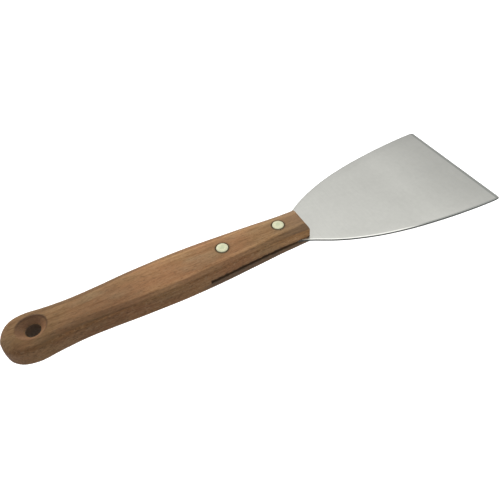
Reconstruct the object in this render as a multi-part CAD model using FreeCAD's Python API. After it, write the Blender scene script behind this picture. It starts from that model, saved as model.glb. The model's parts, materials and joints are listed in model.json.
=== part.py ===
# Flexible putty knife, 3 in blade: a flat spring-steel blade with a tang held in
# the sawn slot of a one-piece wooden handle by two compression rivets.
#
# Frame, millimetres: +X along the knife toward the working edge, +Z up out of
# the flat of the blade, origin at the centre of the hang hole, on the mid plane
# of the blade.  The steel and the rivets are symmetric about the XZ plane.  The
# saw slot lies a little below the middle of the wood, so the upper and lower
# halves differ.  The wood isn't quite straight either: its front stands a little
# to the -Y side and the tip of its butt a little to the +Y side.
#
# "From the front" is a distance along +X from the front face of the handle, so
# it is negative inside the wood.
import FreeCAD, Part
import math
import os

V = FreeCAD.Vector
os.makedirs("parts", exist_ok=True)

# ---------------------------------------------------------------- dimensions
FRONT_X = 147.0            # handle front face
BUTT_X = -15.5             # end of the butt

BLADE_REACH = 108.5        # working edge, from the front
BLADE_THICKNESS = 1.2
HALF_THICKNESS = BLADE_THICKNESS / 2
EDGE_CORNER_RADIUS = 1.2   # softened corners of the working edge
BEVEL_LENGTH = 2.4         # ground bevel behind the working edge
BEVEL_LAND = 0.4           # thickness left at the working edge
FLEX_AXIS = 15.0           # bending axis of the blade, from the front
NOSE_GAP = 0.02            # between the rounded nose and the held part

TANG_HALF_WIDTH = 6.5      # inside the handle
TANG_END = -57.0           # from the front
TANG_CORNER_RADIUS = 4.0
STEEL_START = -20.0        # where the tang's parallel sides end, from the front
OUTLINE_STEP = 3.0         # least spacing of the points along the steel's sides
OUTLINE_MIN_SPANS = 6

SLOT_END = -60.0           # end of the saw slot, from the front
SLOT_UP = 0.62             # upper face of the slot, above the mid plane of the steel
SLOT_DOWN = 1.0            # lower face of the slot, below the same plane

RIVETS = {"front_rivet": -14.3, "rear_rivet": -47.6}   # axes, from the front
HEAD_RADIUS = 3.2
HEAD_THICKNESS = 1.5       # depth of each head's counterbore in the wood
HEAD_UP = 0.2              # rim of each head above the wood
HEAD_CROWN = 0.4           # crown of the head above its rim
HEAD_SEAT_GAP = 0.02       # between head and counterbore floor
HEAD_SIDE_GAP = 0.4        # radial gap round each head in its counterbore
TUBE_RADIUS = 1.9          # outside of the female half's tube
TUBE_FIT = 0.05            # radial clearance of the tube in wood and tang
TUBE_SHORT = 0.6           # tube's lower end, above the lower counterbore floor
BORE_SHORT = 0.8           # bore's upper end, below the upper counterbore floor
PIN_RADIUS = 1.25          # male half's pin
PIN_FIT = 0.01             # radial clearance of the pin in the tube
PIN_SHORT = 1.6            # pin's upper end, below the upper counterbore floor

HANG_HOLE_RADIUS = 3.75
CSK_RADIUS = 7.6           # countersink radius at the upper surface
CSK_Z = 4.99               # height, up and down, where the countersinks meet the hole
CSK_DEPTH = 5.0            # length of the cutting cone, past the surface

BUTT_START = -147.5        # start of the rounded butt, from the front
BUTT_LENGTH = BUTT_START - (BUTT_X - FRONT_X)
BUTT_POWER = 2.5           # 2 is an ellipse in plan, more is blunter
BUTT_TOP = 4.4             # height left at the very end of the butt, upper half
BUTT_LOW = 3.4             # the same, lower half
BUTT_FALL_START = 0.6      # share of the flat's length before the faces drop
FACE_CROWN_RADIUS = 50.0   # crowned upper and lower faces

FRONT_ROUND = 0.3          # round-over of the front face
EASE_RADIUS = 2.4          # larger round-over of its upper edge
EASE_OUTSET = 0.05         # how far that round starts outside the wood

CUT_WIDTH = 60.0           # width in Y of tools that cut right across the handle
CUT_HALF_HEIGHT = 12.0     # reach in Z of tools that cut right through it


def smooth(table):
    """Monotone-safe cubic through (x, value) stations, as a function of x."""
    xs = [station[0] for station in table]
    ys = [station[1] for station in table]
    spans = len(xs) - 1
    chords = [(ys[i + 1] - ys[i]) / (xs[i + 1] - xs[i]) for i in range(spans)]
    slopes = [chords[0]]
    for before, after in zip(chords, chords[1:]):
        turns = before * after <= 0
        slopes.append(0.0 if turns else 2 * before * after / (before + after))
    slopes.append(chords[-1])

    def value(x):
        if x <= xs[0]:
            return ys[0]
        if x >= xs[-1]:
            return ys[-1]
        i = max(j for j in range(spans) if xs[j] <= x)
        step = xs[i + 1] - xs[i]
        t = (x - xs[i]) / step
        return (ys[i] * (2 * t ** 3 - 3 * t ** 2 + 1)
                + slopes[i] * step * (t ** 3 - 2 * t ** 2 + t)
                + ys[i + 1] * (-2 * t ** 3 + 3 * t ** 2)
                + slopes[i + 1] * step * (t ** 3 - t ** 2))
    return value


def cylinder(radius, z0, z1, x):
    """Upright cylinder on the XZ plane."""
    return Part.makeCylinder(radius, z1 - z0, V(x, 0, z0), V(0, 0, 1))


def line(start, end):
    return Part.LineSegment(start, end).toShape()


# -------------------------------------------------------- handle section tables
# Each table: (distance from the front, size).  Heights are from the mid plane of
# the steel, up for "top" and down for "low"; "side" is the height where the side
# wall starts to turn in.  The flat's half width serves both faces.
half_width = smooth([
    (-163.5, 12.4), (-150, 12.15), (-145, 11.85), (-140, 11.3), (-130, 10.7),
    (-124, 10.6), (-118, 10.7), (-110, 11.0), (-100, 11.6), (-90, 11.95), (-80, 12.1),
    (-70, 12.1), (-60, 11.8), (-50, 11.2), (-40, 10.5), (-30, 9.85), (-20, 9.25),
    (-12, 8.9), (-5, 8.85), (0, 8.95)])
flat_half_width = smooth([
    (-163.5, 8.4), (-150, 8.4), (-140, 7.0), (-126, 6.0), (-112, 6.9), (-95, 8.2),
    (-80, 8.8), (-64, 8.35), (-50, 7.7), (-38, 7.1), (-27, 6.53), (-15, 5.62), (0, 4.9)])
top_height = smooth([
    (-163.5, 8.2), (-150, 8.3), (-138, 8.2), (-125, 8.05), (-112, 8.2), (-95, 8.45),
    (-80, 8.5), (-60, 8.45), (-40, 8.35), (-20, 8.3), (-8, 8.25), (0, 8.1)])
top_side = smooth([
    (-163.5, 6.6), (-150, 6.6), (-140, 6.35), (-120, 6.2), (-100, 6.3), (-80, 6.5),
    (-60, 6.45), (-45, 6.45), (-30, 6.5), (-20, 6.45), (-10, 6.3), (0, 6.0)])
low_height = smooth([
    (-163.5, 7.0), (-150, 7.1), (-138, 7.0), (-125, 6.9), (-112, 7.0), (-95, 7.2),
    (-80, 7.3), (-60, 7.3), (-40, 7.2), (-20, 7.1), (-8, 7.05), (0, 6.9)])
low_side = smooth([
    (-163.5, 4.6), (-150, 4.6), (-140, 4.4), (-130, 4.1), (-120, 3.75), (-100, 3.65),
    (-80, 4.05), (-60, 4.4), (-45, 4.75), (-30, 4.6), (-20, 4.1), (-10, 3.75), (0, 3.1)])
# offset of the section's middle to the +Y side of the steel's
side_shift = smooth([
    (-163.5, 0.4), (-155, 0.3), (-147, 0.05), (-142, 0.0), (-45, 0.0), (-30, -0.1),
    (-20, -0.35), (-12, -0.55), (-5, -0.65), (0, -0.7)])
# softening of the long edges: crisp at the front, well rounded at the butt
edge_softness = smooth([
    (-150, 2.3), (-140, 2.2), (-126, 1.7), (-112, 1.15), (-95, 0.8), (-60, 0.55),
    (-10, 0.4), (0, 0.25)])

# sections of the loft: along the body from the front, then round the butt, as
# angles of a quarter turn from BUTT_START to the tip
BODY_STATIONS = (0, -3, -7, -12, -20, -30, -40, -50, -60, -70, -80, -90, -100, -110,
                 -117, -124, -131, -138, -143, BUTT_START)
BUTT_ANGLES = (12, 24, 35, 46, 56, 65, 73, 79, 84, 87)


def closing(past, length, half, power):
    """Half width of a rounded plan of the given length, past its start."""
    if past >= length:
        return 0.0
    return half * (1 - (past / length) ** power) ** (1 / power)


def section_corners(x):
    """Octagon section as (y, z, softening); None marks the crown of a face."""
    width, flat = half_width(x), flat_half_width(x)
    top, top_turn = top_height(x), top_side(x)
    low, low_turn = low_height(x), low_side(x)
    if x < BUTT_START:
        # the side profile is carried round the butt: each level has its own plan
        past = BUTT_START - x
        full_width, full_flat = half_width(BUTT_START), flat_half_width(BUTT_START)
        flat_length = BUTT_LENGTH - (full_width - full_flat)
        width = closing(past, BUTT_LENGTH, full_width, BUTT_POWER)
        flat = max(closing(past, flat_length, full_flat, 2.0), 0.30 * width)
        fall_start = BUTT_FALL_START * flat_length
        t = max(past - fall_start, 0.0) / (BUTT_LENGTH - fall_start)
        fall = 1 - math.sqrt(max(1 - t * t, 0.0))
        top -= (top - BUTT_TOP) * fall
        low -= (low - BUTT_LOW) * fall
        top_turn -= (top_turn - 0.55 * BUTT_TOP) * fall
        low_turn -= (low_turn - 0.5 * BUTT_LOW) * fall
    crown = flat * flat / (2 * FACE_CROWN_RADIUS)
    soft = edge_softness(x)
    side_soft = (1.5 if x > -100 else 1.2) * soft
    side = [(flat, top - crown, soft), (width, top_turn, side_soft),
            (width, -low_turn, side_soft), (flat, -low + crown, soft)]
    corners = (side + [(0, -low - crown, None)]
               + [(-y, z, s) for y, z, s in reversed(side)] + [(0, top + crown, None)])
    return [(y + side_shift(x), z, s) for y, z, s in corners]


def section_wire(x):
    """Closed wire of a section: crowned faces, flat sides and softened corners."""
    corners = section_corners(x)
    points = [V(FRONT_X + x, y, z) for y, z, _ in corners]
    count = len(points)

    def toward(corner, neighbour, softening):
        """Point where the softening starts on the side toward the neighbour."""
        side = neighbour - corner
        return corner + side * (min(softening, 0.47 * side.Length) / side.Length)

    # poles of each corner's curve; a crown takes its ends from its neighbours
    poles = []
    for i in range(count):
        point, softening = points[i], corners[i][2]
        if softening is None:
            poles.append(None)
        else:
            poles.append((toward(point, points[i - 1], softening), point,
                          toward(point, points[(i + 1) % count], softening)))
    edges = []
    for i in range(count):
        following = poles[(i + 1) % count]
        curve = Part.BezierCurve()
        if poles[i] is None:
            curve.setPoles([poles[i - 1][2], points[i], following[0]])
            edges.append(curve.toShape())
            continue
        curve.setPoles(list(poles[i]))
        edges.append(curve.toShape())
        if following is not None:
            edges.append(line(poles[i][2], following[0]))
    return Part.Wire(edges)


def front_ease():
    """Cutter that leaves a quarter round along the upper front edge."""
    x = FRONT_X + EASE_OUTSET - EASE_RADIUS
    z = top_height(0) + EASE_OUTSET - EASE_RADIUS
    corner = V(x, -CUT_WIDTH / 2, z)
    block = Part.makeBox(EASE_RADIUS + 2, CUT_WIDTH, EASE_RADIUS + 3, corner)
    return block.cut(Part.makeCylinder(EASE_RADIUS, CUT_WIDTH, corner, V(0, 1, 0)))


def make_handle():
    stations = [float(x) for x in BODY_STATIONS]
    stations += [BUTT_START - BUTT_LENGTH * math.sin(math.radians(a)) for a in BUTT_ANGLES]
    handle = Part.makeLoft([section_wire(x) for x in stations], True, False)
    front_edges = [e for e in handle.Edges
                   if abs(e.BoundBox.XMin - FRONT_X) < 0.01
                   and abs(e.BoundBox.XMax - FRONT_X) < 0.01]
    handle = handle.makeFillet(FRONT_ROUND, front_edges)
    handle = handle.cut(front_ease())

    # saw slot, open at the front
    handle = handle.cut(Part.makeBox(-SLOT_END + 20, CUT_WIDTH, SLOT_UP + SLOT_DOWN,
                                     V(FRONT_X + SLOT_END, -CUT_WIDTH / 2, -SLOT_DOWN)))

    # hang hole, countersunk from both faces with the same cone
    handle = handle.cut(cylinder(HANG_HOLE_RADIUS, -CUT_HALF_HEIGHT, CUT_HALF_HEIGHT, 0.0))
    slope = (CSK_RADIUS - HANG_HOLE_RADIUS) / (top_height(-FRONT_X) - CSK_Z)
    for side in (1, -1):
        handle = handle.cut(Part.makeCone(
            HANG_HOLE_RADIUS, HANG_HOLE_RADIUS + slope * CSK_DEPTH, CSK_DEPTH,
            V(0, 0, side * CSK_Z), V(0, 0, side)))

    # rivet holes, counterbored from both faces
    counterbore = HEAD_RADIUS + HEAD_SIDE_GAP
    for station in RIVETS.values():
        x = FRONT_X + station
        upper_floor = top_height(station) - HEAD_THICKNESS
        lower_floor = -low_height(station) + HEAD_THICKNESS
        handle = handle.cut(cylinder(TUBE_RADIUS + TUBE_FIT,
                                     -CUT_HALF_HEIGHT, CUT_HALF_HEIGHT, x))
        handle = handle.cut(cylinder(counterbore, upper_floor, CUT_HALF_HEIGHT, x))
        handle = handle.cut(cylinder(counterbore, -CUT_HALF_HEIGHT, lower_floor, x))
    return handle


# --------------------------------------------------------------------- steel
# (distance from the front, half width of the steel)
steel_half_width = smooth([
    (STEEL_START, TANG_HALF_WIDTH), (-15, 6.9), (-10, 7.95), (-5, 9.85), (0, 12.35),
    (2, 13.5), (6, 15.9), (10, 18.25), (14, 20.3), (18, 22.15), (22, 23.8), (26, 25.3),
    (30, 26.72), (38, 29.1), (46, 31.05), (54, 32.7), (62, 34.0), (70, 35.15),
    (78, 36.1), (86, 36.88), (94, 37.5), (102, 37.9), (BLADE_REACH, 38.0)])


def mirrored(point):
    return V(point.x, -point.y, point.z)


def steel_side(start, end, sign):
    """Spline along one side of the steel, with its first and last points."""
    spans = max(OUTLINE_MIN_SPANS, int(abs(end - start) / OUTLINE_STEP))
    stations = [start + (end - start) * i / spans for i in range(spans + 1)]
    points = [V(FRONT_X + x, sign * steel_half_width(x), 0) for x in stations]
    curve = Part.BSplineCurve()
    curve.interpolate(Points=points)
    return curve.toShape(), points[0], points[-1]


def rounded_end(end_x, half, radius, direction):
    """Straight end with rounded corners, facing +X or -X by direction."""
    inset = radius * (1 - math.sqrt(0.5))
    start = V(end_x - direction * radius, half, 0)
    middle = V(end_x - direction * inset, half - inset, 0)
    finish = V(end_x, half - radius, 0)
    return [Part.Arc(start, middle, finish).toShape(),
            line(finish, mirrored(finish)),
            Part.Arc(mirrored(finish), mirrored(middle), mirrored(start)).toShape()]


def steel_plate(edges):
    face = Part.Face(Part.Wire(Part.__sortEdges__(edges)))
    face.translate(V(0, 0, -HALF_THICKNESS))
    return face.extrude(V(0, 0, BLADE_THICKNESS))


def make_tang():
    """Held part: tang in the handle and the first stretch of steel before it."""
    held_end = FLEX_AXIS - HALF_THICKNESS - NOSE_GAP
    left, left_start, left_end = steel_side(STEEL_START, held_end, 1)
    right, right_start, right_end = steel_side(STEEL_START, held_end, -1)
    end_x = FRONT_X + TANG_END
    corner = V(end_x + TANG_CORNER_RADIUS, TANG_HALF_WIDTH, 0)
    tang = steel_plate(
        [left, right, line(left_end, right_end), line(left_start, corner)]
        + rounded_end(end_x, TANG_HALF_WIDTH, TANG_CORNER_RADIUS, -1)
        + [line(mirrored(corner), right_start)])
    for station in RIVETS.values():
        tang = tang.cut(cylinder(TUBE_RADIUS + TUBE_FIT, -5, 5, FRONT_X + station))
    return tang


def make_blade():
    """Flexing part, with its rounded nose on the bending axis."""
    side_end = BLADE_REACH - EDGE_CORNER_RADIUS
    left, left_start, left_end = steel_side(FLEX_AXIS, side_end, 1)
    right, right_start, _ = steel_side(FLEX_AXIS, side_end, -1)
    edge_x = FRONT_X + BLADE_REACH
    blade = steel_plate([left, right, line(left_start, right_start)]
                        + rounded_end(edge_x, left_end.y, EDGE_CORNER_RADIUS, 1))
    nose = Part.makeCylinder(HALF_THICKNESS, 2 * left_start.y, right_start, V(0, 1, 0))
    blade = blade.fuse(nose).removeSplitter()

    # ground bevel on both faces, its cutter carried past the working edge
    overrun = 1.0
    half_land = BEVEL_LAND / 2
    drop = (HALF_THICKNESS - half_land) / BEVEL_LENGTH * overrun
    back_x, ahead_x = edge_x - BEVEL_LENGTH, edge_x + overrun
    for side in (1, -1):
        profile = [V(x, -CUT_WIDTH, side * z) for x, z in (
            (back_x, HALF_THICKNESS), (ahead_x, half_land - drop),
            (ahead_x, HALF_THICKNESS + 1), (back_x, HALF_THICKNESS + 1))]
        cutter = Part.Face(Part.makePolygon(profile + profile[:1]))
        blade = blade.cut(cutter.extrude(V(0, 2 * CUT_WIDTH, 0)))
    return blade


# -------------------------------------------------------------------- rivets
def rivet_head(x, surface, side):
    """Crowned head at a wood surface; side is 1 for the upper face, -1 the lower."""
    cap_radius = (HEAD_RADIUS ** 2 + HEAD_CROWN ** 2) / (2 * HEAD_CROWN)
    crest = surface + HEAD_UP + HEAD_CROWN
    underside = surface - HEAD_THICKNESS + HEAD_SEAT_GAP
    z0, z1 = sorted((side * underside, side * crest))
    cap = Part.makeSphere(cap_radius, V(x, 0, side * (crest - cap_radius)))
    return cylinder(HEAD_RADIUS, z0, z1, x).common(cap)


def make_rivet(station):
    """Female half, headed on the upper face, and male half, on the lower."""
    x = FRONT_X + station
    top, low = top_height(station), low_height(station)
    upper_floor, lower_floor = top - HEAD_THICKNESS, -low + HEAD_THICKNESS
    tube = cylinder(TUBE_RADIUS, lower_floor + TUBE_SHORT, upper_floor + HEAD_SEAT_GAP, x)
    female = rivet_head(x, top, 1).fuse(tube).removeSplitter()
    female = female.cut(cylinder(PIN_RADIUS + PIN_FIT, -low, upper_floor - BORE_SHORT, x))
    pin = cylinder(PIN_RADIUS, lower_floor - HEAD_SEAT_GAP, upper_floor - PIN_SHORT, x)
    male = rivet_head(x, low, -1).fuse(pin).removeSplitter()
    return female, male


pieces = {"handle": make_handle(), "blade_tang": make_tang(), "blade": make_blade()}
for name, station in RIVETS.items():
    pieces[name + "_female"], pieces[name + "_male"] = make_rivet(station)

for name, shape in pieces.items():
    # a boolean can leave its one solid inside a compound
    if len(shape.Solids) == 1:
        shape = shape.Solids[0]
    shape.exportStep("parts/%s.step" % name)
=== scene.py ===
# Looks of a flexible putty knife: a wooden handle, a strip of spring steel and two rivets.
# Frame of the part: +X along the knife to the working edge, +Z out of the upper flat,
# origin at the hang hole's centre. The scene is in metres; names in capitals taken from
# the CAD, and the sizes in the mesh functions, are in mm.
import json
import math
from functools import cached_property

import bmesh
import bpy
from mathutils import Matrix, Vector


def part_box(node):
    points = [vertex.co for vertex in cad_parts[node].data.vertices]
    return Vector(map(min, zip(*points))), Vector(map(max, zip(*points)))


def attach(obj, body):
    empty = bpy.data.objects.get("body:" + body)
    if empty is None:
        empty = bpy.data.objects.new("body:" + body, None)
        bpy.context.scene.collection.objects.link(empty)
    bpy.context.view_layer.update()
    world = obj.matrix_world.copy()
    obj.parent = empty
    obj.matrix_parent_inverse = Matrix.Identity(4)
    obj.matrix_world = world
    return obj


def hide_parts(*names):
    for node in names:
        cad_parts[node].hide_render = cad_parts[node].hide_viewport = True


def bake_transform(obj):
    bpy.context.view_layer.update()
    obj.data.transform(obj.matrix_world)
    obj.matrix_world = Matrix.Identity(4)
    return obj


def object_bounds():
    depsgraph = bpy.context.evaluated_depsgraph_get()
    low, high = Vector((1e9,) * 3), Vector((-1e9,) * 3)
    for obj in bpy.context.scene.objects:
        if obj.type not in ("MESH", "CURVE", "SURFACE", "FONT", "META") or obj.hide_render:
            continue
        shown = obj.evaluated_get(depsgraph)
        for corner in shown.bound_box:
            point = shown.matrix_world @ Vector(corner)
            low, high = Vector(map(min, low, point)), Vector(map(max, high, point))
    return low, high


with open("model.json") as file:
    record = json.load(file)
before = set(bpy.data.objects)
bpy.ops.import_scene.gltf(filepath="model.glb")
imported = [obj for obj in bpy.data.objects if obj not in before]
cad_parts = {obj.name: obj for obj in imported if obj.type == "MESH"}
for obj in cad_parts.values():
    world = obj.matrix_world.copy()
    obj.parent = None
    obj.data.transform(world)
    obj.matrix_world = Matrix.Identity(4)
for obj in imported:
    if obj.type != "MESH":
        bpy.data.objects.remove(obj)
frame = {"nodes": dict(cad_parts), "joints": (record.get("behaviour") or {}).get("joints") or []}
cad_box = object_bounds()
MM = 0.001

# ------------------------------------------------------------ sizes from the CAD, mm
handle_lo, handle_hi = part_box("handle")
blade_lo, blade_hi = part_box("blade")
joint = frame["joints"][0]
BUTT = handle_lo[0] / MM                  # rear end of the handle
FRONT = handle_hi[0] / MM                 # handle front face
EDGE = blade_hi[0] / MM                   # working edge
HINGE = joint["pos_m"][0] / MM            # bending axis of the blade
THICK = (blade_hi[2] - blade_lo[2]) / MM
TANG_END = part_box("blade_tang")[0][0] / MM
RIVET_NAMES = ("front_rivet", "rear_rivet")


def middle_x(node):
    """Middle of a CAD node along X, in mm."""
    low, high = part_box(node)
    return (low[0] + high[0]) / 2 / MM


RIVETS = [middle_x(name + "_female") for name in RIVET_NAMES]


def smooth_table(table):
    """Monotone cubic through a table of (x, value), flat outside it."""
    places = [row[0] for row in table]
    values = [row[1] for row in table]
    spans = len(table) - 1
    chords = [(values[i + 1] - values[i]) / (places[i + 1] - places[i]) for i in range(spans)]
    slopes = [chords[0]]
    for before, after in zip(chords, chords[1:]):
        turning = before * after <= 0
        slopes.append(0.0 if turning else 2 * before * after / (before + after))
    slopes.append(chords[-1])

    def value_at(x):
        if x <= places[0]:
            return values[0]
        if x >= places[-1]:
            return values[-1]
        i = max(j for j in range(spans) if places[j] <= x)
        width = places[i + 1] - places[i]
        t = (x - places[i]) / width
        return (values[i] * (2 * t ** 3 - 3 * t ** 2 + 1)
                + slopes[i] * width * (t ** 3 - 2 * t ** 2 + t)
                + values[i + 1] * (-2 * t ** 3 + 3 * t ** 2)
                + slopes[i + 1] * width * (t ** 3 - t ** 2))
    return value_at


# Every table: (distance forward of the handle front in mm, value).
# half width of the steel, mm
half_steel = smooth_table([
    (-20, 6.5), (-15, 6.9), (-10, 7.95), (-5, 9.85), (0, 12.35), (2, 13.5), (6, 15.9),
    (10, 18.25), (14, 20.3), (18, 22.15), (22, 23.8), (26, 25.3), (30, 26.72), (38, 29.1),
    (46, 31.05), (54, 32.7), (62, 34.0), (70, 35.15), (78, 36.1), (86, 36.88), (94, 37.5),
    (102, 37.9), (108.5, 38.0)])
# half width of the upper face of the handle, mm
top_flat = smooth_table([
    (-150, 8.4), (-140, 7.0), (-126, 6.0), (-112, 6.9), (-95, 8.2), (-80, 8.8),
    (-64, 8.35), (-50, 7.7), (-38, 7.1), (-27, 6.53), (-15, 5.62), (0, 4.9)])
# painted light and shade: brightness of the wood on its upper face
top_shading = smooth_table([
    (-162, 0.70), (-155, 0.72), (-144, 0.82), (-131, 0.86), (-116, 0.83), (-100, 0.93),
    (-85, 1.17), (-69, 1.12), (-55, 1.05), (-39, 1.12), (-21, 1.06), (-12, 0.90), (0, 0.85)])
# and painted light and shade on the sides and elsewhere
side_shading = smooth_table([
    (-162, 0.76), (-155, 0.77), (-144, 0.85), (-133, 0.80), (-122, 0.75), (-111, 0.79),
    (-100, 0.86), (-89, 0.90), (-78, 0.92), (-67, 1.05), (-56, 1.05), (-45, 1.15),
    (-34, 1.18), (-23, 1.29), (-12, 1.55), (0, 1.60)])


# ------------------------------------------------------------------ node helpers
class Nodes:
    """Adds nodes to a tree. Inputs may be plain values or the outputs of other nodes."""

    def __init__(self, tree):
        self.tree = tree

    @cached_property
    def coord(self):
        return self.add("ShaderNodeTexCoord").outputs["Object"]

    def add(self, kind, **props):
        node = self.tree.nodes.new(kind)
        for key, value in props.items():
            setattr(node, key, value)
        return node

    def link(self, source, target):
        self.tree.links.new(source, target)

    def put(self, socket, value):
        if hasattr(value, "is_output"):
            self.link(value, socket)
        else:
            socket.default_value = value

    def noise(self, stretch, detail, rough=0.5, shift=(0, 0, 0), vector=None):
        """Noise with `stretch` features per metre along each axis."""
        place = self.add("ShaderNodeMapping")
        self.link(vector or self.coord, place.inputs["Vector"])
        place.inputs["Scale"].default_value = stretch
        place.inputs["Location"].default_value = shift
        node = self.add("ShaderNodeTexNoise")
        self.link(place.outputs[0], node.inputs["Vector"])
        node.inputs["Scale"].default_value = 1.0
        node.inputs["Detail"].default_value = detail
        node.inputs["Roughness"].default_value = rough
        node.inputs["Distortion"].default_value = 0.0
        return node.outputs["Fac"]

    def ramp(self, factor, stops):
        """Linear ramp through stops of (position, grey or colour)."""
        node = self.add("ShaderNodeValToRGB")
        self.link(factor, node.inputs[0])
        elements = node.color_ramp.elements
        while len(elements) > 1:
            elements.remove(elements[-1])
        for i, (place, shade) in enumerate(stops):
            element = elements[0] if i == 0 else elements.new(place)
            element.position = place
            element.color = (*shade, 1) if isinstance(shade, tuple) else (shade,) * 3 + (1,)
        return node.outputs["Color"]

    def mix(self, factor, first, second, blend="MIX"):
        node = self.add("ShaderNodeMix", data_type="RGBA", blend_type=blend)
        self.put(node.inputs[0], factor)
        for socket, value in ((node.inputs[6], first), (node.inputs[7], second)):
            self.put(socket, (*value, 1) if isinstance(value, tuple) else value)
        return node.outputs[2]

    def multiply(self, colour, by, amount=1.0):
        return self.mix(amount, colour, by, "MULTIPLY")

    def tone(self, colour, by, mask):
        """Multiply the colour inside a mask."""
        return self.mix(mask, colour, self.multiply(colour, by))

    def paint(self, colour, new, mask, amount):
        """Lay a new colour inside a mask, `amount` strong."""
        return self.mix(self.times(mask, amount), colour, new)

    def math(self, operation, *values):
        node = self.add("ShaderNodeMath", operation=operation)
        for socket, value in zip(node.inputs, values + (0.0,) * (3 - len(values))):
            self.put(socket, value)
        return node.outputs[0]

    def times(self, product, *factors):
        for factor in factors:
            product = self.math("MULTIPLY", product, factor)
        return product

    def largest(self, masks):
        result = masks[0]
        for mask in masks[1:]:
            result = self.math("MAXIMUM", result, mask)
        return result

    def linear(self, value, gain, offset):
        return self.math("MULTIPLY_ADD", value, gain, offset)

    def jitter(self, value, noise, gain, middle=0.5):
        """Value pushed about by a noise."""
        return self.linear(self.math("SUBTRACT", noise, middle), gain, value)

    def length(self, x, y):
        return self.math("SQRT", self.math("ADD", self.times(x, x), self.times(y, y)))

    def band(self, value, over, to, kind="SMOOTHSTEP"):
        """Map the range `over` onto the range `to`."""
        node = self.add("ShaderNodeMapRange", interpolation_type=kind)
        self.put(node.inputs[0], value)
        for i, limit in enumerate((*over, *to)):
            node.inputs[i + 1].default_value = limit
        return node.outputs[0]

    def rise(self, value, over):
        return self.band(value, over, to=(0.0, 1.0))

    def fall(self, value, over):
        return self.band(value, over, to=(1.0, 0.0))

    def xyz(self, vector=None):
        node = self.add("ShaderNodeSeparateXYZ")
        self.link(vector or self.coord, node.inputs[0])
        return node.outputs

    def normal(self):
        return self.xyz(self.add("ShaderNodeNewGeometry").outputs["Normal"])

    def vector(self, x=0.0, y=0.0, z=0.0):
        node = self.add("ShaderNodeCombineXYZ")
        for socket, value in zip(node.inputs, (x, y, z)):
            self.put(socket, value)
        return node.outputs[0]

    def bump(self, height, strength, distance, normal=None):
        node = self.add("ShaderNodeBump")
        node.inputs["Strength"].default_value = strength
        node.inputs["Distance"].default_value = distance
        self.link(height, node.inputs["Height"])
        if normal is not None:
            self.link(normal, node.inputs["Normal"])
        return node.outputs[0]


class Material(Nodes):
    """A material with one Principled surface."""

    def __init__(self, name):
        self.data = bpy.data.materials.new(name)
        self.data.use_nodes = True
        super().__init__(self.data.node_tree)
        self.tree.nodes.clear()
        output = self.add("ShaderNodeOutputMaterial")
        self.bsdf = self.add("ShaderNodeBsdfPrincipled")
        self.link(self.bsdf.outputs[0], output.inputs[0])

    def surface(self, values):
        for name, value in values.items():
            self.put(self.bsdf.inputs[name], value)


def srgb(*channels):
    """Linear colour from 0-255 sRGB channels."""
    def linear(channel):
        channel /= 255.0
        return channel / 12.92 if channel <= 0.04045 else ((channel + 0.055) / 1.055) ** 2.4
    return tuple(linear(channel) for channel in channels)


def rivet_distances(mat, x, y):
    """Distance from each rivet's axis."""
    return [mat.length(mat.math("SUBTRACT", x, centre * MM), y) for centre in RIVETS]


# -------------------------------------------------------------------------- wood
def wood_grain(mat):
    """Stained grain along X: its colour, and the noises used again further on."""
    # long slow noise warps the fine streaks
    warp = mat.noise(stretch=(9, 60, 60), detail=2.0)
    warped = mat.add("ShaderNodeVectorMath", operation="MULTIPLY_ADD")
    mat.link(mat.vector(y=warp, z=warp), warped.inputs[0])
    warped.inputs[1].default_value = (0, 0.006, 0.006)
    mat.link(mat.coord, warped.inputs[2])
    wood = warped.outputs[0]
    blotch = mat.noise(stretch=(30, 55, 55), detail=2.0, shift=(2, 4, 1))
    tint = mat.noise(stretch=(45, 130, 130), detail=2.0, shift=(8, 3, 6), vector=wood)
    broad = mat.noise(stretch=(16, 260, 260), detail=3.0, rough=0.55, vector=wood)
    figure = mat.noise(stretch=(38, 700, 700), detail=4.0, rough=0.6, shift=(3, 1, 2),
                       vector=wood)
    fine = mat.noise(stretch=(110, 1700, 1700), detail=3.0, rough=0.6, shift=(1, 5, 3),
                     vector=wood)
    pores = mat.noise(stretch=(420, 2400, 2400), detail=2.0, rough=0.6, shift=(7, 2, 9),
                      vector=wood)
    base = mat.ramp(broad, [(0.26, srgb(112, 78, 47)), (0.45, srgb(134, 98, 62)),
                            (0.60, srgb(144, 108, 71)), (0.76, srgb(124, 88, 55))])
    warm = mat.ramp(figure, [(0.30, srgb(116, 79, 47)), (0.48, srgb(136, 99, 63)),
                             (0.62, srgb(147, 111, 74)), (0.8, srgb(122, 87, 54))])
    colour = mat.mix(0.5, base, warm)
    # slow patches: some redder, some paler, as stain takes unevenly
    redder = mat.ramp(blotch, [(0.48, 0.0), (0.66, 0.4)])
    colour = mat.mix(redder, colour, srgb(142, 92, 60))
    paler = mat.ramp(tint, [(0.52, 0.0), (0.70, 0.42)])
    colour = mat.mix(paler, colour, srgb(146, 118, 84))
    streak = mat.ramp(fine, [(0.33, 0.74), (0.5, 1.0), (0.7, 1.12)])
    colour = mat.multiply(colour, streak, amount=0.7)
    pore = mat.ramp(pores, [(0.55, 1.0), (0.68, 0.42)])
    return mat.multiply(colour, pore, amount=0.5), figure, fine, pore


def wood_specks(mat, colour, speck, facing):
    """Dark dust and pale flecks, both weaker on the upper face."""
    dust = mat.ramp(speck, [(0.30, 0.60), (0.46, 0.97), (0.60, 1.0), (0.76, 1.0)])
    colour = mat.multiply(colour, dust, amount=mat.linear(facing, gain=-0.45, offset=1.0))
    # paler flecks where the sides were sanded across the pores
    fleck = mat.noise(stretch=(480, 900, 900), detail=2.0, rough=0.6, shift=(1, 6, 2))
    fleck = mat.times(mat.rise(fleck, over=(0.54, 0.68)),
                      mat.linear(facing, gain=-0.22, offset=0.34))
    return mat.mix(fleck, colour, srgb(166, 134, 100))


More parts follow.
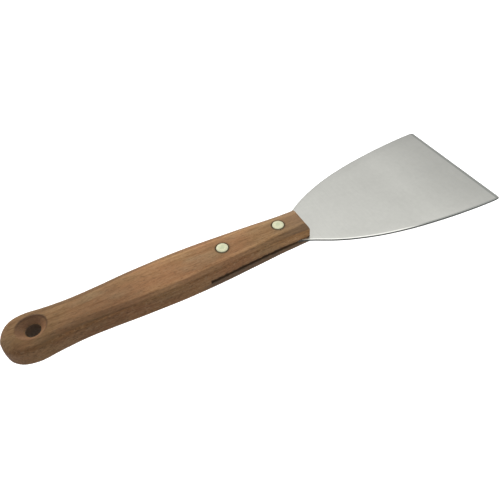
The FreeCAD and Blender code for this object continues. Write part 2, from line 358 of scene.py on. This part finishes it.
def wood_painted_shading(mat, colour, position, normal_z, facing, figure):
    """Painted light and shade: brightness along the handle, a painted highlight along the edges
    of the upper face, painted shade on the shoulders beyond them and painted light on the tilted
    faces near the butt.
    """
    x, y, z = position
    length = FRONT - BUTT
    span = mat.math("DIVIDE", mat.math("ADD", x, -BUTT * MM), length * MM)

    def along_handle(value_at, full):
        """Ramp of a table over the handle, divided by `full` to stay within 0 to 1."""
        steps = 24
        return mat.ramp(span, [(i / steps, value_at(-length + i / steps * length) / full)
                               for i in range(steps + 1)])

    # painted light and shade along the handle, from one table for the upper face and one for the
    # sides; darker toward the butt
    brightest, widest = 2.0, 10
    painted_shading = mat.mix(facing, along_handle(side_shading, brightest), along_handle(top_shading, brightest))
    painted_shading = mat.times(painted_shading, brightest)
    colour = mat.multiply(colour, mat.vector(painted_shading, painted_shading, painted_shading))

    # distance outside the edge of the upper face, which leans to -Y near the front
    flat = mat.times(along_handle(top_flat, widest), widest * MM)
    aside = mat.band(x, over=((FRONT - 36) * MM, (FRONT - 4) * MM), to=(0.0, -0.66 * MM),
                     kind="LINEAR")
    outside = mat.math("ABSOLUTE", mat.math("SUBTRACT", y, aside))
    outside = mat.math("SUBTRACT", outside, flat)

    # painted highlight along the long upper edges, fading out at the butt
    arris_highlight = mat.times(mat.rise(outside, over=(-0.0020, -0.0005)),
                    mat.fall(outside, over=(0.0002, 0.0007)),
                    mat.rise(x, over=(25 * MM, 95 * MM)),
                    mat.rise(mat.math("ABSOLUTE", z), over=(0.0055, 0.0068)),
                    mat.ramp(figure, [(0.35, 0.45), (0.6, 1.0)]))
    colour = mat.tone(colour, (1.36, 1.41, 1.44), arris_highlight)
    # painted shade on the bevelled shoulders beyond those edges
    shoulder_shade = mat.times(mat.rise(outside, over=(0.0001, 0.0006)),
                       mat.rise(normal_z, over=(0.58, 0.85)),
                       mat.rise(x, over=(-6 * MM, 8 * MM)),
                       mat.band(x, over=(55 * MM, 120 * MM), to=(1.0, 0.3)))
    colour = mat.tone(colour, (0.80, 0.80, 0.82), shoulder_shade)
    # painted light on their lower edges near the butt, lifting the shade there to the tone of
    # the sides
    shade_lift = mat.times(mat.rise(normal_z, over=(0.12, 0.35)),
                     mat.fall(normal_z, over=(0.6, 0.78)),
                     mat.times(mat.rise(x, over=(4 * MM, 20 * MM)),
                               mat.fall(x, over=(28 * MM, 48 * MM))))
    return mat.tone(colour, (1.28, 1.28, 1.28), shade_lift)


def wood_slot(mat, colour, position, normal_z, speck):
    """The rough saw slot: painted shade inside and round its mouth, a painted glow deep inside,
    a darker band beside it, and painted shade on the wood below it.
    """
    x, _, z = position
    slot_z = -0.00019
    along = mat.rise(x, over=((FRONT - 60.8) * MM, (FRONT - 59.6) * MM))
    level = mat.math("ABSOLUTE", mat.math("ADD", z, -slot_z))
    ragged = mat.jitter(level, speck, gain=0.0014)
    torn = mat.noise(stretch=(330, 120, 120), detail=2.0, rough=0.6, shift=(6, 2, 3))
    ragged = mat.jitter(ragged, torn, gain=-0.0026, middle=0.46)
    # painted shade: the slot's walls and a ragged band round its mouth are painted dark
    mouth_shade = mat.times(along, mat.fall(ragged, over=(0.0008, 0.0012)))
    colour = mat.paint(colour, srgb(64, 44, 27), mouth_shade, amount=0.92)

    # painted glow: a faint brown emission deep in the slot keeps it from going black, stronger
    # toward the front
    deep = mat.times(along, mat.fall(level, over=(0.00083, 0.0009)))
    forward = mat.rise(x, over=((FRONT - 25) * MM, FRONT * MM))
    painted_glow = mat.multiply(mat.mix(deep, (0.0, 0.0, 0.0), (0.013, 0.0065, 0.002)),
                        mat.mix(forward, (1.0, 1.0, 1.0), (1.7, 1.7, 1.7)))
    mat.surface({"Emission Color": painted_glow, "Emission Strength": 1.0})

    # the wood within 3 mm of the slot is painted a little darker and browner
    slot_band = mat.times(along, mat.fall(level, over=(0.0009, 0.0030)))
    colour = mat.paint(colour, srgb(70, 58, 42), slot_band, amount=0.28)
    # painted shade: the wood below the slot, short of the underside, is painted greyer and
    # darker
    lower_cheek_shade = mat.times(mat.rise(x, over=((FRONT - 70) * MM, (FRONT - 55) * MM)),
                    mat.rise(z, over=(-0.0004, -0.0012)),
                    mat.rise(normal_z, over=(-0.85, -0.55)))
    colour = mat.paint(colour, srgb(118, 102, 88), lower_cheek_shade, amount=0.5)
    return mat.tone(colour, (0.67, 0.66, 0.63), lower_cheek_shade)


def wood_hang_hole(mat, colour, position, speck):
    x, y, _ = position
    radius = mat.length(x, y)
    # the walls of the hang hole are raw end grain, grey with handling
    bore = mat.fall(radius, over=(0.00374, 0.0039))
    colour = mat.paint(colour, srgb(100, 82, 65), bore, amount=0.88)
    # the countersink was cut through the stain: redder
    sink = mat.times(mat.rise(radius, over=(0.0039, 0.0043)),
                     mat.fall(radius, over=(0.0072, 0.0078)),
                     mat.ramp(speck, [(0.35, 0.52), (0.6, 0.22)]))
    colour = mat.mix(sink, colour, srgb(116, 80, 62))
    # painted shade in the rim of the countersink, on the far side toward +X and +Y
    away = mat.math("ADD", mat.times(x, 0.51), mat.times(y, 0.86))
    painted_rim = mat.times(mat.rise(radius, over=(0.0064, 0.0073)),
                    mat.fall(radius, over=(0.0076, 0.0081)),
                    mat.rise(away, over=(-0.0035, 0.003)))
    return mat.paint(colour, srgb(58, 42, 30), painted_rim, amount=0.5)


def wood_material():
    mat = Material("stained_hardwood")
    position = x, y, _ = mat.xyz()
    normal_z = mat.normal()[2]
    facing = mat.rise(normal_z, over=(0.5, 0.9))        # one on the upper face
    speck = mat.noise(stretch=(620, 1250, 1250), detail=2.0, rough=0.6, shift=(5, 8, 4))
    colour, figure, fine, pore = wood_grain(mat)
    colour = wood_specks(mat, colour, speck, facing)
    colour = wood_painted_shading(mat, colour, position, normal_z, facing, figure)
    # darkened rim where each rivet was set
    ring = mat.largest([mat.fall(distance, over=(0.0036, 0.0046))
                        for distance in rivet_distances(mat, x, y)])
    colour = mat.paint(colour, srgb(60, 46, 30), ring, amount=0.62)
    colour = wood_slot(mat, colour, position, normal_z, speck)
    colour = wood_hang_hole(mat, colour, position, speck)
    # painted sheen: the upper face is a little greyer than the sides
    colour = mat.multiply(colour, mat.mix(facing, (0.98, 1.015, 1.06), (0.94, 1.035, 1.17)))
    # the front of the upper face is greyer still
    tip = mat.times(facing, mat.rise(x, over=((FRONT - 20) * MM, (FRONT - 4) * MM)))
    colour = mat.paint(colour, srgb(138, 116, 94), tip, amount=0.3)
    relief = mat.bump(fine, strength=0.35, distance=0.00014)
    relief = mat.bump(pore, strength=0.4, distance=0.00012, normal=relief)
    mat.surface({"Base Color": colour,
                 "Roughness": mat.ramp(fine, [(0.3, 0.66), (0.7, 0.56)]),
                 "Specular IOR Level": 0.15,
                 "Normal": relief})
    return mat.data


# ------------------------------------------------------------------------- metal
GRIND = 2.4                               # length of the ground bevel at the working edge, mm


def steel_material():
    mat = Material("spring_steel")
    x = mat.xyz()[0]
    brush = mat.noise(stretch=(2600, 40, 40), detail=3.0, rough=0.6)
    haze = mat.noise(stretch=(22, 34, 34), detail=3.0)
    mottle = mat.noise(stretch=(420, 420, 420), detail=3.0, rough=0.6, shift=(4, 1, 7))
    colour = mat.ramp(haze, [(0.3, srgb(193, 193, 187)), (0.7, srgb(201, 201, 195))])
    # painted reflection: the steel is painted darker toward the working edge, where the
    # reflected light falls off
    colour = mat.multiply(colour, mat.ramp(
        mat.rise(x, over=((FRONT + 10) * MM, EDGE * MM)),
        [(0.0, 0.985), (0.2, 0.965), (0.45, 0.95), (0.65, 0.99), (0.85, 0.89), (1.0, 0.79)]))
    colour = mat.multiply(colour, mat.ramp(brush, [(0.3, 0.965), (0.7, 1.015)]))
    colour = mat.multiply(colour, mat.ramp(mottle, [(0.3, 0.97), (0.7, 1.02)]))
    # ground bevel: coarser than the rolled faces and painted darker, partly for its grind and
    # partly as painted reflection for its tilt, with its own line
    grind = (EDGE - GRIND) * MM
    wobble = mat.jitter(x, mottle, gain=0.0007)
    bevel = mat.rise(wobble, over=(grind - 0.0004, grind + 0.0003))
    colour = mat.paint(colour, srgb(165, 167, 162), bevel, amount=0.85)
    line = mat.times(mat.rise(x, over=(grind - 0.0006, grind - 0.00025)),
                     mat.fall(x, over=(grind - 0.00025, grind)))
    colour = mat.paint(colour, srgb(206, 206, 202), line, amount=0.3)
    # sheared narrow sides: rough, and painted dark as painted shade from the dim room they
    # mirror
    normal_y = mat.normal()[1]
    side = mat.rise(mat.math("ABSOLUTE", normal_y), over=(0.45, 0.8))
    colour = mat.paint(colour, srgb(62, 64, 62), side, amount=0.92)
    # painted highlight on the deburred rim of the -Y side, bright near the handle and painted
    # darker further out
    painted_rim = mat.times(mat.rise(mat.times(normal_y, -1.0), over=(0.03, 0.10)),
                    mat.fall(mat.math("ABSOLUTE", normal_y), over=(0.30, 0.45)))
    bright = mat.fall(x, over=((FRONT + 44) * MM, (FRONT + 62) * MM))
    colour = mat.mix(painted_rim, colour, mat.mix(bright, srgb(150, 152, 148), srgb(232, 232, 226)))
    coarse = mat.times(mat.math("MAXIMUM", bevel, side), 0.12)
    rough = mat.math("ADD", mat.ramp(haze, [(0.3, 0.33), (0.7, 0.38)]), coarse)
    mat.surface({"Base Color": colour,
                 "Metallic": 1.0,
                 "Roughness": rough,
                 "Normal": mat.bump(brush, strength=0.10, distance=0.00004)})
    return mat.data


def rivet_material():
    mat = Material("rivet_nickel")
    x, y, _ = mat.xyz()
    haze = mat.noise(stretch=(900, 900, 900), detail=3.0)
    colour = mat.ramp(haze, [(0.3, srgb(203, 203, 170)), (0.7, srgb(219, 219, 188))])
    # the set of the punch leaves a duller, greener spot in the middle of each head
    spot = mat.largest([mat.fall(mat.jitter(distance, haze, gain=0.0012), over=(0.0009, 0.0018))
                        for distance in rivet_distances(mat, x, y)])
    colour = mat.paint(colour, srgb(184, 194, 162), spot, amount=0.6)
    mat.surface({"Base Color": colour,
                 "Metallic": 0.55,
                 "Roughness": 0.5,
                 "Normal": mat.bump(haze, strength=0.1, distance=0.00003)})
    return mat.data


def floor_material():
    mat = Material("floor_paper")
    # pale paper: brighter to the camera than the light it throws back on the knife
    thrown, extra = 0.2, 0.56
    seen = mat.add("ShaderNodeLightPath").outputs["Is Camera Ray"]
    # seen from below the paper is clear, so the underside of the knife can be looked at
    backface = mat.add("ShaderNodeNewGeometry").outputs["Backfacing"]
    mat.surface({"Base Color": (0.62, 0.62, 0.62, 1),
                 "Roughness": 0.9,
                 "Specular IOR Level": 0.1,
                 "Emission Color": (1.0, 1.0, 1.0, 1),
                 "Emission Strength": mat.linear(seen, gain=extra, offset=thrown),
                 "Alpha": mat.math("SUBTRACT", 1.0, backface)})
    return mat.data


# ------------------------------------------------------------------------- meshes
def link_object(name, data):
    obj = bpy.data.objects.new(name, data)
    bpy.context.scene.collection.objects.link(obj)
    return obj


def new_object(name, mesh, material, sharp_deg=32.0):
    """Smooth-shaded object from a bmesh, creased above the sharp angle."""
    data = bpy.data.meshes.new(name)
    bmesh.ops.recalc_face_normals(mesh, faces=mesh.faces)
    mesh.to_mesh(data)
    mesh.free()
    data.polygons.foreach_set("use_smooth", [True] * len(data.polygons))
    data.set_sharp_from_angle(angle=math.radians(sharp_deg))
    data.materials.append(material)
    return link_object(name, data)


def blade_mesh():
    """One strip of steel: tang, shoulders, flare and ground working edge."""
    half_thick = THICK / 2
    soft = 0.10                           # softened long edges
    roll, dip = 0.9, 0.10                 # deburred rim of the upper face: width and fall
    land = 0.2                            # half thickness left at the working edge
    corner = 1.2                          # radius of the corners of the working edge
    tip = 4.0                             # radius of the rear corners of the tang
    ease = 0.15                           # half length of the bend into the bevel
    columns = 12                          # divisions across each flat
    grind = EDGE - GRIND                  # where the bevel starts

    def stations():
        tip_steps, corner_steps = 8, 6
        places = [TANG_END + tip * (1 - math.cos(math.pi / 2 * i / tip_steps))
                  for i in range(tip_steps + 1)]
        x = places[-1]
        for until, step in ((FRONT - 22, 2.5), (FRONT + 52, 1.0), (grind - 2.6, 2.0)):
            while x < until:
                x += step
                places.append(x)
        places = [place for place in places if place < grind - 1.0]
        places += [grind - 0.6, grind - ease, grind + ease, grind + 0.8]
        return places + [EDGE - corner + corner * math.sin(math.pi / 2 * i / corner_steps)
                         for i in range(corner_steps + 1)]

    def half_width(x):
        width = half_steel(x - FRONT)
        if x < TANG_END + tip:
            width += math.sqrt(max(tip ** 2 - (TANG_END + tip - x) ** 2, 0.0)) - tip
        if x > EDGE - corner:
            width += math.sqrt(max(corner ** 2 - (x - EDGE + corner) ** 2, 0.0)) - corner
        return width

    def half_height(x):
        slope = (half_thick - land) / GRIND
        if x <= grind - ease:
            return half_thick
        if x < grind + ease:
            part = (x - grind + ease) / (2 * ease)
            return half_thick - slope * ease * part * part
        return half_thick - slope * (x - grind)

    def side(width, height, fall, edge):
        """(y, z) from the flat over the rolled rim and round the softened edge."""
        return [(width - roll, height + fall),
                (width - roll * 0.8, height + fall * 0.88),
                (width - roll * 0.5, height + fall * 0.58),
                (width - edge, height),
                (width - edge * 0.45, height - edge * 0.14),
                (width - edge * 0.14, height - edge * 0.45),
                (width, height - edge)]

    mesh = bmesh.new()
    rings = []
    for x in stations():
        width, height = half_width(x), half_height(x)
        edge = min(soft, height * 0.6)
        fall = dip * min(1.0, (height - land) / (half_thick - land) + 0.3)
        over = side(width, height - fall, fall, edge)
        under = side(width, height, 0.0, edge)
        inner = width - roll
        upper = [(-inner + 2 * inner * k / columns, height) for k in range(1, columns)]
        right = over + [(y, -z) for y, z in reversed(under)]
        lower = [(y, -z) for y, z in reversed(upper)]
        left = [(-y, -z) for y, z in under] + [(-y, z) for y, z in reversed(over)]
        rings.append([mesh.verts.new((x * MM, y * MM, z * MM))
                      for y, z in upper + right + lower + left])
    count = len(rings[0])
    for near, far in zip(rings, rings[1:]):
        for i in range(count):
            j = (i + 1) % count
            mesh.faces.new((near[i], near[j], far[j], far[i]))
    mesh.faces.new(rings[0])
    mesh.faces.new(list(reversed(rings[-1])))
    return mesh


def cut(obj, cutter):
    """Boolean difference, applied to the mesh."""
    modifier = obj.modifiers.new("cut", "BOOLEAN")
    modifier.operation = "DIFFERENCE"
    modifier.solver = "EXACT"
    modifier.object = cutter
    depsgraph = bpy.context.evaluated_depsgraph_get()
    data = bpy.data.meshes.new_from_object(obj.evaluated_get(depsgraph))
    obj.modifiers.clear()
    old = obj.data
    obj.data = data
    bpy.data.meshes.remove(old)
    bpy.data.objects.remove(cutter)


def lathe(profile, centre_x, segments=96):
    """bmesh of a profile of (radius, z) turned about the vertical at centre_x, in mm."""
    mesh = bmesh.new()
    rings = []
    for radius, z in profile:
        if radius == 0:
            rings.append([mesh.verts.new((centre_x * MM, 0, z * MM))])
            continue
        angles = [2 * math.pi * i / segments for i in range(segments)]
        rings.append([mesh.verts.new(((centre_x + radius * math.cos(angle)) * MM,
                                      radius * math.sin(angle) * MM, z * MM))
                      for angle in angles])
    for first, second in zip(rings, rings[1:]):
        for i in range(segments):
            j = (i + 1) % segments
            if len(first) == 1:
                mesh.faces.new((first[0], second[i], second[j]))
            elif len(second) == 1:
                mesh.faces.new((first[i], first[j], second[0]))
            else:
                mesh.faces.new((first[i], first[j], second[j], second[i]))
    return mesh


# softly crowned, dimpled rivet head, mm: (radius, depth below the face of the CAD head)
HEAD_CROWN = [(0, 0.09), (0.45, 0.085), (0.85, 0.045), (1.15, 0.03), (1.5, 0.07),
              (1.9, 0.125), (2.3, 0.19), (2.65, 0.26)]
# its rim: (inset from the full radius, depth)
HEAD_RIM = [(0.30, 0.33), (0.14, 0.39), (0.04, 0.49), (0, 0.62), (0, 1.75), (0.1, 1.88)]
HEAD_DEPTH = 1.90
FEMALE_STEM, MALE_STEM = 1.9, 1.25        # stem radii
BORE, BORE_DEPTH = 1.26, 2.9              # blind bore of the female stem


def rivet_half(radius, face, stem_end, female):
    """Profile of one half; the female one has its head on top."""
    up = 1 if female else -1
    stem = FEMALE_STEM if female else MALE_STEM
    head = HEAD_CROWN + [(radius - inset, depth) for inset, depth in HEAD_RIM]
    head.append((stem, HEAD_DEPTH))
    profile = [(place, face - up * depth) for place, depth in head]
    if female:
        bottom = face - up * BORE_DEPTH
        return profile + [(stem, stem_end), (BORE, stem_end), (BORE, bottom), (0, bottom)]
    chamfer = 0.3
    return profile + [(stem, stem_end + up * chamfer), (stem - chamfer, stem_end),
                      (0, stem_end)]


def add_rivet(name, centre_x, blade):
    """Cut the rivet's hole in the blade and turn its two halves."""
    female_lo, female_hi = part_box(name + "_female")
    male_lo, male_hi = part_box(name + "_male")
    radius = (female_hi[0] - female_lo[0]) / 2 / MM
    hole, reach = 2.0, 3
    drill = lathe([(0, -reach), (hole, -reach), (hole, reach), (0, reach)], centre_x, 48)
    cut(blade, new_object(name + "_cutter", drill, steel_mat))
    halves = []
    for node, face, stem_end in (("_female", female_hi[2], female_lo[2]),
                                 ("_male", male_lo[2], male_hi[2])):
        profile = rivet_half(radius, face / MM, stem_end / MM, node == "_female")
        piece = new_object(name + node + "_head", lathe(profile, centre_x), rivet_mat)
        halves.append((piece, name + node))
    for piece, node in halves:
        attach(piece, "handle_body")
        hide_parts(node)


# -------------------------------------------------------------------------- stage
def add_floor():
    """Paper just below the lowest place the sprung blade reaches."""
    half_size, gap = 6.0, 0.0005
    swing = math.radians(max(abs(angle) for angle in joint["range_deg"]))
    lowest = min(cad_box[0][2], blade_lo[2] - (EDGE - HINGE) * MM * math.sin(swing))
    data = bpy.data.meshes.new("floor")
    mesh = bmesh.new()
    mesh.faces.new([mesh.verts.new((x * half_size, y * half_size, lowest - gap))
                    for x, y in ((-1, -1), (1, -1), (1, 1), (-1, 1))])
    mesh.to_mesh(data)
    mesh.free()
    floor = link_object("floor", data)
    data.materials.append(floor_material())


def add_world():
    """A ceiling brightest overhead and toward +X +Y, behind the knife as the camera sees it,
    and a dimmer side toward the viewer; the camera itself sees plain white."""
    sky_light = 1.45                      # from behind and above
    top_light = 0.1                       # overhead
    room_light = 0.3                      # everywhere
    viewer_light = 0.1                    # from the viewer's side
    world = bpy.data.worlds.new("studio")
    bpy.context.scene.world = world
    world.use_nodes = True
    tree = Nodes(world.node_tree)
    x, y, z = tree.xyz(tree.add("ShaderNodeTexCoord").outputs["Generated"])
    behind = tree.math("ADD", tree.times(x, 0.62), tree.times(y, 0.78))
    behind = tree.rise(behind, over=(-0.25, 0.55))
    height = tree.math("MAXIMUM", z, 0.0)
    sky = tree.times(tree.math("POWER", height, 1.6), behind, sky_light)
    room = tree.math("ADD", sky, tree.linear(height, gain=top_light, offset=room_light))
    viewer = tree.times(tree.math("SUBTRACT", 1.0, behind), viewer_light)
    room = tree.math("ADD", room, viewer)
    seen = tree.add("ShaderNodeLightPath").outputs["Is Camera Ray"]
    unseen = tree.math("SUBTRACT", 1.0, seen)
    background = world.node_tree.nodes["Background"]
    background.inputs[0].default_value = (1.0, 1.0, 1.0, 1)
    tree.link(tree.math("ADD", tree.times(room, unseen), seen), background.inputs[1])


def add_key_light():
    """Broad soft key from behind and to the left, so the near sides fall into shade."""
    light = bpy.data.lights.new("key", "AREA")
    light.shape = "RECTANGLE"
    light.size = 1.1
    light.size_y = 0.5
    light.energy = 17.0
    key = link_object("key", light)
    key.location = (-0.1, 1.0, 0.66)
    aim = Vector((0.12, 0.0, 0.0)) - key.location
    key.rotation_euler = aim.to_track_quat("-Z", "Y").to_euler()
    # the steel mirrors the graded room and not the lamp, as behind a diffusing tent
    key.visible_glossy = False


def add_camera():
    data = bpy.data.cameras.new("camera")
    camera = link_object("camera", data)
    data.sensor_width = 36.0
    data.sensor_fit = "HORIZONTAL"
    data.lens = 37.11024
    data.clip_start = 0.01
    place = Vector((FRONT - 108.147, -177.397, 200.954)) * MM
    forward = Vector((0.272024, 0.633813, -0.724075)).normalized()
    right = Vector((0.887648, -0.455836, -0.065537)).normalized()
    up = right.cross(forward).normalized()
    turn = Matrix((right, up, -forward)).transposed()
    camera.matrix_world = Matrix.Translation(place) @ turn.to_4x4()
    bpy.context.scene.camera = camera


# ----------------------------------------------------------------------- assembly
wood_mat = wood_material()
steel_mat = steel_material()
rivet_mat = rivet_material()

blade_obj = new_object("blade_steel", blade_mesh(), steel_mat, sharp_deg=30.0)
for rivet_name, rivet_x in zip(RIVET_NAMES, RIVETS):
    add_rivet(rivet_name, rivet_x, blade_obj)
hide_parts("blade", "blade_tang")
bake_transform(blade_obj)

# the wooden handle keeps the CAD node's shape
for slot in frame["nodes"]["handle"].material_slots:
    slot.link = "OBJECT"
    slot.material = wood_mat

add_floor()
add_world()
add_key_light()
add_camera()

view = bpy.context.scene.view_settings
view.view_transform = "Standard"
view.look = "None"
view.exposure = 0.0
view.gamma = 1.0

bpy.context.view_layer.update()
